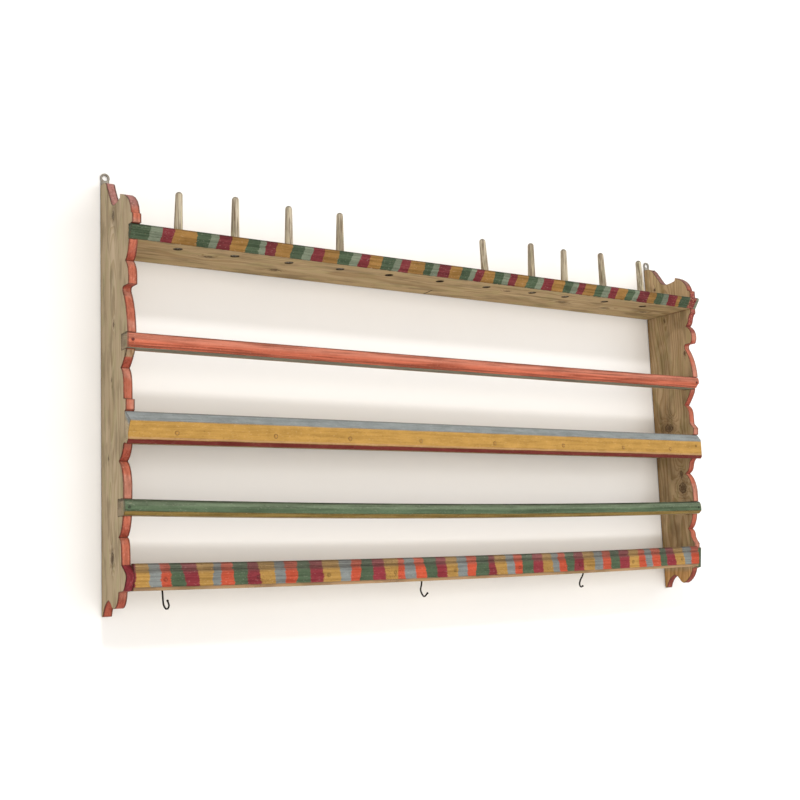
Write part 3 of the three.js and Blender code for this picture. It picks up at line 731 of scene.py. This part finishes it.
def end_board_finish(name, board, colours):
    """One end board: bare faces, outlined painted edges, and on the left a bare patch below a rail."""
    finish = Finish(name.replace("_", " "), upright=True)
    wire = finish.wire
    off_middle = wire.math("ABSOLUTE", wire.minus(finish.left, WIDTH / 2))
    outer = wire.math("GREATER_THAN", off_middle, BOARD_MIDDLE)
    side = finish.wavering(wire.math("ABSOLUTE", finish.nx), 0.5, 0.15)
    edge_face = wire.both(wire.ramp(side, 0.86, 0.66), wire.above(finish.depth, 1.5, 0.8))
    top = wire.both(wire.ramp(finish.nz, 0.05, 0.5), wire.above(finish.height, OGEE_FROM, 12.0))
    foot = wire.times(wire.no(wire.above(finish.height, FOOT_TO, 6.0)), 0.6 * board["right"])
    wood, grain = end_board_pine(finish, board, colours, outer, foot)
    paint = end_board_paint(finish, board, colours, top, foot)
    below_rail = (UPPER_RAIL["low"] - 15.0, UPPER_RAIL["low"] - 2.0)
    bare = finish.band(*below_rail, 1.5, finish.wavering(finish.height))
    cover = wire.both(edge_face, wire.no(wire.times(bare, 0.85 * (1.0 - board["right"]))))
    inset = finish.wavering(wire.math("ABSOLUTE", wire.minus(off_middle, BOARD_MIDDLE)), 1.6, 0.2)
    outline = wire.both(wire.ramp(inset, HALF_BOARD - 3.6, HALF_BOARD - 1.8), edge_face)
    coat = finish.paint(
        wood, paint, cover, wear=wire.math("MULTIPLY_ADD", top, 0.3, 0.42), streak=0.35,
        line=wire.times(outline, 0.95), place=finish.grain_place,
    )
    relief = wire.plus(wire.times(grain, wire.no(edge_face)), coat["Height"])
    return finish.seal(coat["Colour"], relief, wire.ramp(coat["Film"], 0, 1, 0.85, 0.7), 0.2)


class RACK_OT_end_boards(bpy.types.Operator):
    """Bare pine faces, coral edges, and the first and last stripe of the bottom board"""

    bl_idname = "rack.end_boards"
    bl_label = "Finish the end boards"

    def execute(self, context):
        for name, board in END_BOARDS.items():
            dress([name], end_board_finish(name, board, context.scene.rack_colours))
        return {"FINISHED"}


def top_shelf_pine(finish, colours):
    """The top shelf's bare board, with a crack underneath and painted shade inside the peg holes."""
    wire = finish.wire
    wood, grain = finish.pine(
        colours.shelf_pale, colours.shelf_dark, (80, 655), TOP_SHELF_KNOTS, contrast=0.62, wander=26.0,
        ring_width=3.6,
    )
    slant = finish.wavering(wire.plus(finish.left, wire.times(finish.depth, CRACK["slant"])), 3.0)
    crack = finish.band(CRACK["from"], CRACK["to"], 0.8, slant)
    crack = wire.both(crack, wire.no(wire.above(finish.depth, CRACK["depth"], 3.0)))
    crack = wire.both(crack, wire.ramp(finish.nz, -0.5, -0.9))
    wood = wire.mix(wire.times(crack, 0.9), wood, colours.grime)
    # Painted shade: the walls of the peg holes are darkened almost to black
    upright = wire.ramp(wire.math("ABSOLUTE", finish.nz), 0.5, 0.3)
    bore = wire.both(upright, finish.band(*PEG_HOLES, 1.0, finish.depth))
    return wire.mix(wire.times(bore, 0.95), wood, painted_hole_shade(colours)), grain


def nose_stripes(finish, colours):
    """The stripes of the top shelf's moulding, battered where they cross the right end board."""
    paints = {name: getattr(colours, name) for name in NOSE_STRIPES}
    paints["ochre"] = toned(colours.ochre, 0.92, 0.84, 0.82)
    group = stripe_group(
        "Top stripes", NOSE_STRIPES, paints, slant=-0.6, level=718.0, seed=11, tone=0.7, frayed=4.0
    )
    stripes = finish.wire.group(group, from_left=finish.left, height=finish.height, place=finish.place)
    stripes = stripes["Colour"]
    last = (NOSE_STRIPES["crimson"][-1] - 0.5, NOSE_STRIPES["sage"][-1])
    crossing = finish.band(*last, 1.0, finish.wavering(finish.left, 3.0, 0.2))
    return finish.wire.mix(crossing, stripes, finish.battered(stripes))


class RACK_OT_top_shelf(bpy.types.Operator):
    """Bare pine board with a striped front moulding"""

    bl_idname = "rack.top_shelf"
    bl_label = "Finish the top shelf"

    def execute(self, context):
        colours = context.scene.rack_colours
        finish = Finish("top shelf")
        wire = finish.wire
        wood, grain = top_shelf_pine(finish, colours)
        stripes = nose_stripes(finish, colours)
        reach = finish.wavering(finish.depth, 9.0, 0.11)
        on_top = wire.above(finish.nz, 0.7, 0.1)
        moulding = wire.above(reach, TOP_SHELF["front"] - 1.0)
        nose = wire.above(reach, TOP_SHELF["nose"] - 9.0)
        cover = wire.plus(wire.both(wire.no(on_top), moulding), wire.both(on_top, nose))
        line = wire.both(wire.above(finish.height, TOP_SHELF["top"] - 4.0, 1.5), moulding)
        line = wire.times(line, 0.55)
        coat = finish.paint(wood, stripes, cover, wear=0.4, cloud=0.5, streak=0.5, line=line)
        relief = wire.plus(wire.times(grain, wire.no(cover)), coat["Height"])
        rough = wire.ramp(coat["Film"], 0, 1, 0.85, 0.7)
        dress(["top_shelf"], finish.seal(coat["Colour"], relief, rough, 0.2))
        return {"FINISHED"}


class RACK_OT_shelves(bpy.types.Operator):
    """Bare pine boards of the middle and the bottom shelf"""

    bl_idname = "rack.shelves"
    bl_label = "Finish the middle and bottom shelves"

    def execute(self, context):
        colours = context.scene.rack_colours
        for name, (sag, pith, knots) in PLAIN_SHELVES.items():
            finish = Finish(name.replace("_", " "), sag=sag)
            wood, grain = finish.pine(colours.shelf_pale, colours.shelf_dark, pith, knots, wander=24.0)
            wood = finish.wire.mix(finish.wire.times(finish.edge, 0.4), wood, colours.grime)
            dress([name], finish.seal(wood, grain, 0.82, 0.2))
        return {"FINISHED"}


def rail_wood(finish, rail, colours, pith):
    """A rail's wood with grimy ends, and how much paint it carries: its back has none, its ends little."""
    wire = finish.wire
    ends = wire.ramp(wire.math("ABSOLUTE", finish.nx), 0.8, 0.95)
    wood = wire.mix(wire.times(ends, 0.35), finish.under_paint(pith), colours.grime)
    smeared = wire.above(finish.wavering(finish.depth, 8.0, 0.2), rail["face"] - 7.0, 2.5)
    ends_cover = wire.no(wire.both(ends, wire.no(wire.times(smeared, 0.7))))
    back_cover = wire.above(finish.wavering(finish.depth, 5.0, 0.1), rail["back"] + 4.0)
    return wood, wire.both(back_cover, ends_cover)


class RACK_OT_upper_rail(bpy.types.Operator):
    """Coral plate rail: painted highlight above, painted shade in the low groove, olive underside, bare
    back
    """

    bl_idname = "rack.upper_rail"
    bl_label = "Finish the upper plate rail"

    def execute(self, context):
        colours = context.scene.rack_colours
        rail = UPPER_RAIL
        finish = Finish("upper plate rail", sag=rail["sag"])
        wire = finish.wire
        wood, cover = rail_wood(finish, rail, colours, (120, 470))
        level = finish.wavering(finish.height, 1.6)
        # Painted highlight: the upper part of the face, where the rounded top catches the light, turns
        # towards faded coral
        upper = wire.above(level, rail["low"] + 15.0, 5.0)
        coral = wire.mix(wire.times(upper, 0.3), colours.coral, colours.faded)
        under = wire.both(wire.ramp(finish.nz, -0.6, -0.8), wire.above(finish.depth, rail["back"] + 6.0))
        paint = wire.mix(under, coral, colours.olive)
        front = wire.ramp(finish.ny, -0.5, -0.7)
        # Painted shade: a dark line low on the face where the moulding steps in
        groove = wire.both(finish.band(rail["low"] + 2.6, rail["low"] + 6.0, 0.7, level), front)
        top_line = wire.above(finish.height, rail["high"] - 2.6, 1.0)
        line = wire.either(wire.times(groove, 0.55), wire.times(top_line, 0.8))
        coat = finish.paint(wood, paint, cover, wear=0.36, cloud=0.6, streak=0.8, line=line)
        dress(["upper_plate_rail"], finish.seal(coat["Colour"], coat["Height"], 0.68))
        return {"FINISHED"}


class RACK_OT_middle_board(bpy.types.Operator):
    """Ochre face, blue-grey top and end chamfers, and a dark red lower chamfer"""

    bl_idname = "rack.middle_board"
    bl_label = "Finish the middle front board"

    def execute(self, context):
        colours = context.scene.rack_colours
        board = MIDDLE_FRONT
        finish = Finish("middle front board")
        wire = finish.wire
        level = finish.wavering(finish.height)
        sideways = wire.math("ABSOLUTE", finish.nx)
        top = wire.above(level, board["high"] - 18.5, 2.0)
        ends = wire.both(wire.ramp(sideways, 0.25, 0.4), wire.above(level, board["low"] + 17.0, 5.0))
        right_end = wire.both(ends, wire.above(finish.left, WIDTH / 2, 50.0), wire.no(top))
        tan_line = finish.band(board["low"] + 8.0, board["low"] + 11.5, 1.0, level)
        low = wire.no(wire.above(level, board["low"] + 7.5, 0.7))
        under = wire.ramp(finish.nz, -0.85, -0.95)
        paint = wire.mix(wire.either(top, ends), colours.ochre, colours.blue_grey)
        paint = wire.mix(wire.times(right_end, 0.7), paint, colours.tan)
        paint = wire.mix(wire.times(tan_line, 0.65), paint, colours.tan)
        paint = wire.mix(low, paint, colours.dark_red)
        paint = wire.mix(under, paint, colours.olive)
        end_grain = wire.ramp(sideways, 0.9, 0.97)
        cover = wire.both(wire.above(finish.depth, board["back"] + 1.0), wire.no(end_grain))
        line = wire.times(wire.above(finish.height, board["high"] - 2.2, 0.8), 0.5)
        wood = finish.under_paint((140, 250))
        coat = finish.paint(wood, paint, cover, wear=0.34, cloud=0.5, streak=0.2, line=line)
        dress(["middle_front_board"], finish.seal(coat["Colour"], coat["Height"], 0.68))
        return {"FINISHED"}


class RACK_OT_lower_rail(bpy.types.Operator):
    """Green plate rail with a painted highlight on its upper part and an ochre chamfer"""

    bl_idname = "rack.lower_rail"
    bl_label = "Finish the lower plate rail"

    def execute(self, context):
        colours = context.scene.rack_colours
        rail = LOWER_RAIL
        finish = Finish("lower plate rail", sag=rail["sag"], fall=rail["fall"])
        wire = finish.wire
        wood, cover = rail_wood(finish, rail, colours, (80, 160))
        cover = wire.both(cover, wire.no(wire.ramp(finish.nz, -0.85, -0.95)))
        level = finish.wavering(finish.height)
        chamfer = wire.no(wire.above(level, rail["low"] + 7.5, 0.8))
        # Painted highlight: the upper part of the rounded face, which catches the light, is mixed towards
        # sage
        upper = wire.both(wire.above(level, rail["low"] + 18.0, 3.0), wire.no(chamfer))
        green = wire.mix(wire.times(upper, 0.33), colours.green, colours.sage)
        paint = wire.mix(chamfer, green, wire.tint(colours.ochre, 0.55, 0.66, 0.7))
        line = wire.times(wire.above(finish.height, rail["high"] - 4.0, 1.4), 0.9)
        coat = finish.paint(wood, paint, cover, wear=0.42, cloud=0.6, streak=0.6, line=line)
        dress(["lower_plate_rail"], finish.seal(coat["Colour"], coat["Height"], 0.66))
        return {"FINISHED"}


def low_stripes(finish, colours, tone):
    """The bottom board's stripes, dusty in their upper part; tone below 1 makes them darker."""
    wire = finish.wire
    paints = {name: getattr(colours, name) for name in LOW_STRIPES}
    paints["blue_grey"] = toned(colours.blue_grey, 0.84, 0.84, 0.82)
    paints["crimson"] = toned(colours.crimson, 1.2, 1.02, 1.2)
    group = shared(
        "low stripes", stripe_group, "Bottom stripes", LOW_STRIPES, paints,
        slant=-0.47, level=76.0, seed=23, tone=0.84, frayed=10.0,
    )
    stripes = wire.group(group, from_left=finish.left, height=finish.height, place=finish.place)["Colour"]
    dust = wire.times(wire.above(finish.height, BOTTOM_FRONT["high"] - 17.0, 4.0), 0.28)
    return wire.tint(wire.mix(dust, stripes, colours.dust), tone, tone, tone)


def low_lines(finish):
    """The bottom board's top line of painted shade, the scratches and ribs high on its moulding, and its
    chips.
    """
    wire = finish.wire
    high = BOTTOM_FRONT["high"]
    # Painted shade: a dark line along the top of the moulding's bead
    top_line = wire.above(finish.height, high - 3.0, 1.2)
    scratches = wire.ramp(wire.noise(finish.place, stretch=(0.02, 1.4, 1.4)), 0.55, 0.66)
    scratches = wire.both(scratches, wire.above(finish.height, high - 22.0, 8.0))
    ribs = wire.math("SINE", wire.times(finish.wavering(finish.height, 1.5), 1.9))
    broken = wire.ramp(wire.noise(finish.place, 0.02, 2.0), 0.34, 0.5)
    ribs = wire.both(wire.ramp(ribs, 0.2, 0.8), wire.above(finish.height, high - 20.0, 4.0), broken)
    chips = wire.ramp(wire.noise(finish.place, 0.5, 2.0), 0.57, 0.62)
    places = [finish.band(start, end, soft, finish.left) for start, end, soft in CHIPPED]
    chips = wire.both(chips, wire.either(*places))
    return wire.either(
        wire.times(top_line, 0.75), wire.times(wire.either(scratches, ribs), 0.7), wire.times(chips, 0.8)
    )


def striped_finish(name, colours, tone=1.0):
    """The bottom board's stripes over pine, with a bare lower fillet."""
    board = BOTTOM_FRONT
    finish = Finish(name, sag=board["sag"])
    wire = finish.wire
    finish.edge = wire.times(finish.edge, 0.35)
    wood, _ = finish.pine(colours.tan, colours.pine_dark, (110, 10), contrast=0.4, wander=12.0)
    above_fillet = wire.above(finish.wavering(finish.height, 2.0, 0.12), board["low"] + 6.4, 0.5)
    cover = wire.both(above_fillet, wire.above(finish.depth, board["face"] - 12.0, 2.0))
    stripes = low_stripes(finish, colours, tone)
    coat = finish.paint(wood, stripes, cover, wear=0.42, cloud=0.5, line=low_lines(finish))
    return finish.seal(coat["Colour"], coat["Height"], 0.66)


class RACK_OT_bottom_board(bpy.types.Operator):
    """Five colours of stripe on the bottom front board"""

    bl_idname = "rack.bottom_board"
    bl_label = "Finish the bottom front board"

    def execute(self, context):
        dress(["bottom_front_board"], striped_finish("bottom front board", context.scene.rack_colours))
        return {"FINISHED"}


class RACK_OT_treenails(bpy.types.Operator):
    """Wooden pins, painted over with their boards, and darker as painted shade round each pin"""

    bl_idname = "rack.treenails"
    bl_label = "Finish the treenails"

    def execute(self, context):
        colours = context.scene.rack_colours
        finish = Finish("middle treenails")
        finish.edge = 0.0
        # Painted shade: the pins' ochre is darkened to stand for the shade round each pin
        paint = finish.wire.tint(colours.ochre, 0.86, 0.8, 0.74)
        coat = finish.paint(finish.under_paint((140, 250)), paint, wear=0.5, cloud=0.6)
        dress(pieces("middle_treenail"), finish.seal(coat["Colour"], coat["Height"], 0.7, 0.2))
        # Painted shade: the bottom pins' stripes are darkened by tone 0.8 for the same shade
        dress(pieces("bottom_treenail"), striped_finish("bottom treenails", colours, tone=0.8))
        return {"FINISHED"}


class RACK_OT_pegs(bpy.types.Operator):
    """Whittled pegs of weathered wood, dark at their tips, with painted shade on their ends in the shelf's
    holes
    """

    bl_idname = "rack.pegs"
    bl_label = "Finish the pegs"

    def execute(self, context):
        colours = context.scene.rack_colours
        finish = Finish("whittled pegs", upright=True)
        wire = finish.wire
        wood, _ = finish.pine(
            colours.peg_pale, colours.peg_dark, (118, 4), contrast=0.45, wander=9.0, ring_width=1.5
        )
        cuts = wire.noise(finish.grain_place, stretch=(0.018, 0.34, 0.34), detail=4.0)
        wood = wire.mix(wire.ramp(cuts, 0.5, 0.62, 0.0, 0.75), wood, colours.cut_dark)
        wood = wire.mix(wire.ramp(cuts, 0.46, 0.34, 0.0, 0.5), wood, colours.cut_pale)
        tip = wire.both(wire.ramp(finish.nz, 0.15, 0.6), wire.above(finish.height, PEG_TIP_FROM, 4.0))
        wood = wire.mix(wire.times(tip, 0.75), wood, colours.peg_tip)
        # Painted shade, in patches: the pegs' lower ends, down in the shelf's holes, are darkened
        below = wire.no(wire.above(finish.height, TOP_SHELF["under"] + 4.0, 1.5))
        hole_shade_patches = wire.ramp(wire.noise(finish.place, 0.3, 2.0), 0.4, 0.55, 0.35, 0.95)
        wood = wire.mix(wire.times(below, hole_shade_patches), wood, painted_hole_shade(colours))
        dress(pieces("peg_"), finish.seal(wood, cuts, 0.8, 0.35))
        return {"FINISHED"}


class RACK_OT_ironwork(bpy.types.Operator):
    """Black iron hooks and hanger nails, and painted nail heads"""

    bl_idname = "rack.ironwork"
    bl_label = "Finish the hooks and nails"

    def execute(self, context):
        colours = context.scene.rack_colours
        finish = Finish("black iron")
        wire = finish.wire
        rust = wire.ramp(wire.noise(finish.place, 0.5, 4.0), 0.52, 0.7)
        colour = wire.mix(wire.times(rust, 0.5), colours.iron, colours.rust)
        rough = wire.ramp(rust, 0, 1, 0.45, 0.8)
        metallic = wire.ramp(rust, 0, 1, 0.7, 0.1)
        iron = finish.seal(colour, wire.noise(finish.place, 1.2), rough, 0.25, metallic)
        dress(pieces("hook_", "left_hanger_nail", "right_hanger_nail"), iron)
        for start, paint, tone in (
            ("upper_rail_nail", colours.dark_red, 0.7),
            ("lower_rail_nail", colours.green, 0.4),
            ("middle_front_nail", colours.ochre, 0.62),
        ):
            finish = Finish(start.replace("_", " "))
            finish.edge = 0.0
            coat = finish.paint(colours.iron, toned(paint, tone, tone, tone), wear=0.2, cloud=0.5)
            dress(pieces(start), finish.seal(coat["Colour"], coat["Height"], 0.6, 0.2))
        return {"FINISHED"}


class RACK_OT_hangers(bpy.types.Operator):
    """Dull zinc hanger straps"""

    bl_idname = "rack.hangers"
    bl_label = "Finish the hangers"

    def execute(self, context):
        colours = context.scene.rack_colours
        finish = Finish("dull zinc")
        wire = finish.wire
        bloom = wire.noise(finish.place, 0.25, 5.0)
        colour = wire.mix(wire.ramp(bloom, 0.4, 0.7), colours.zinc, colours.bloom)
        colour = wire.mix(wire.times(finish.edge, 0.5), colour, colours.grime)
        rough = wire.ramp(bloom, 0.3, 0.7, 0.35, 0.6)
        dress(["left_hanger", "right_hanger"], finish.seal(colour, bloom, rough, 0.1, metallic=0.75))
        return {"FINISHED"}


def backdrop_material():
    """Matt white, and clear from behind, so that the rack shows from every side."""
    white = bpy.data.materials.new("pale backdrop")
    white.use_nodes = True
    white.node_tree.nodes.clear()
    wire = Wiring(white.node_tree)
    matt = wire.add("ShaderNodeBsdfPrincipled", {"Base Color": PALE, "Roughness": 0.95})
    clear = wire.add("ShaderNodeBsdfTransparent")
    behind = wire.add("ShaderNodeNewGeometry").outputs["Backfacing"]
    mixed = wire.add("ShaderNodeMixShader")
    for socket, value in zip(mixed.inputs, (behind, matt.outputs[0], clear.outputs[0])):
        wire.put(socket, value)
    wire.put(wire.add("ShaderNodeOutputMaterial").inputs["Surface"], mixed.outputs[0])
    return white


def sheet(name, corners, material):
    """One flat face with the given corners."""
    mesh = bpy.data.meshes.new(name)
    mesh.from_pydata(corners, [], [tuple(range(len(corners)))])
    mesh.materials.append(material)
    flat = bpy.data.objects.new(name, mesh)
    bpy.context.scene.collection.objects.link(flat)
    return flat


def floor_and_backdrop(low):
    """A level floor, and an upright backdrop just behind the rack."""
    white = backdrop_material()
    side, front, rear = FLOOR["side"], FLOOR["front"], FLOOR["back"]
    level = [(-side, front, low), (side, front, low), (side, rear, low), (-side, rear, low)]
    floor = sheet("floor", level, white)
    side, gap, top = BACKDROP["side"], BACKDROP["gap"], BACKDROP["top"]
    upright = [(-side, gap, low), (side, gap, low), (side, gap, top), (-side, gap, top)]
    back = sheet("backdrop", upright, white)


def add_lamp(scene, name, power, lamp):
    """A rectangular lamp turned to the middle of the rack."""
    light = bpy.data.lights.new(name, "AREA")
    light.shape = "RECTANGLE"
    light.size, light.size_y = lamp["size"]
    light.energy = power
    light.color = lamp["colour"]
    holder = bpy.data.objects.new(name, light)
    scene.collection.objects.link(holder)
    holder.location = lamp["place"]
    holder.rotation_mode = "QUATERNION"
    holder.rotation_quaternion = (AIM - lamp["place"]).to_track_quat("-Z", "Y")


def add_camera(scene, lens):
    """The camera, turned by yaw to the right, pitch upwards and roll about its own line of sight."""
    yaw, pitch, roll = [math.radians(angle) for angle in (CAMERA_YAW, CAMERA_PITCH, CAMERA_ROLL)]
    level_forward = Vector((math.sin(yaw), math.cos(yaw), 0))
    forward = math.cos(pitch) * level_forward + Vector((0, 0, math.sin(pitch)))
    level = Vector((math.cos(yaw), -math.sin(yaw), 0))
    upright = level.cross(forward)
    right = math.cos(roll) * level + math.sin(roll) * upright
    up = math.cos(roll) * upright - math.sin(roll) * level
    data = bpy.data.cameras.new("camera")
    data.sensor_width = 36
    data.lens = lens
    eye = bpy.data.objects.new("camera", data)
    turn = Matrix((right, up, -forward)).transposed().to_4x4()
    eye.matrix_world = Matrix.Translation(CAMERA_PLACE) @ turn
    scene.collection.objects.link(eye)
    scene.camera = eye


class RACK_OT_studio(bpy.types.Operator):
    """Pale floor and backdrop, broad soft light, and the camera"""

    bl_idname = "rack.studio"
    bl_label = "Set the studio"

    def execute(self, context):
        scene = context.scene
        studio = scene.rack_studio
        scene.view_settings.view_transform = "Standard"
        scene.view_settings.look = "None"
        floor_and_backdrop(studio.floor_height)
        room = bpy.data.worlds.new("soft room")
        room.use_nodes = True
        light = room.node_tree.nodes["Background"].inputs
        light["Color"].default_value = ROOM_LIGHT
        light["Strength"].default_value = studio.fill_strength
        scene.world = room
        for name, lamp in LAMPS.items():
            add_lamp(scene, name, getattr(studio, lamp["power"]), lamp)
        add_camera(scene, studio.lens)
        return {"FINISHED"}


STEPS = (
    RACK_OT_end_boards, RACK_OT_top_shelf, RACK_OT_shelves, RACK_OT_upper_rail, RACK_OT_middle_board,
    RACK_OT_lower_rail, RACK_OT_bottom_board, RACK_OT_treenails, RACK_OT_pegs, RACK_OT_ironwork,
    RACK_OT_hangers, RACK_OT_studio,
)
SETTINGS = {"rack_colours": RackColours, "rack_sizes": RackSizes, "rack_studio": RackStudio}


class RACK_PT_finish(bpy.types.Panel):
    """Sidebar panel with every step of the rack's finish"""

    bl_idname = "RACK_PT_finish"
    bl_label = "Plate rack"
    bl_space_type = "VIEW_3D"
    bl_region_type = "UI"
    bl_category = "Plate rack"

    def draw(self, context):
        for group in SETTINGS:
            settings = getattr(context.scene, group)
            for name in settings.__annotations__:
                self.layout.prop(settings, name)
        for step in STEPS:
            self.layout.operator(step.bl_idname)


CLASSES = (*SETTINGS.values(), *STEPS, RACK_PT_finish)


def register():
    for cls in CLASSES:
        bpy.utils.register_class(cls)
    for name, kind in SETTINGS.items():
        setattr(bpy.types.Scene, name, bpy.props.PointerProperty(type=kind))


def unregister():
    for name in SETTINGS:
        delattr(bpy.types.Scene, name)
    for cls in reversed(CLASSES):
        bpy.utils.unregister_class(cls)


def main():
    register()
    for step in STEPS:
        group, action = step.bl_idname.split(".")
        getattr(getattr(bpy.ops, group), action)()


if __name__ == "__main__":
    main()
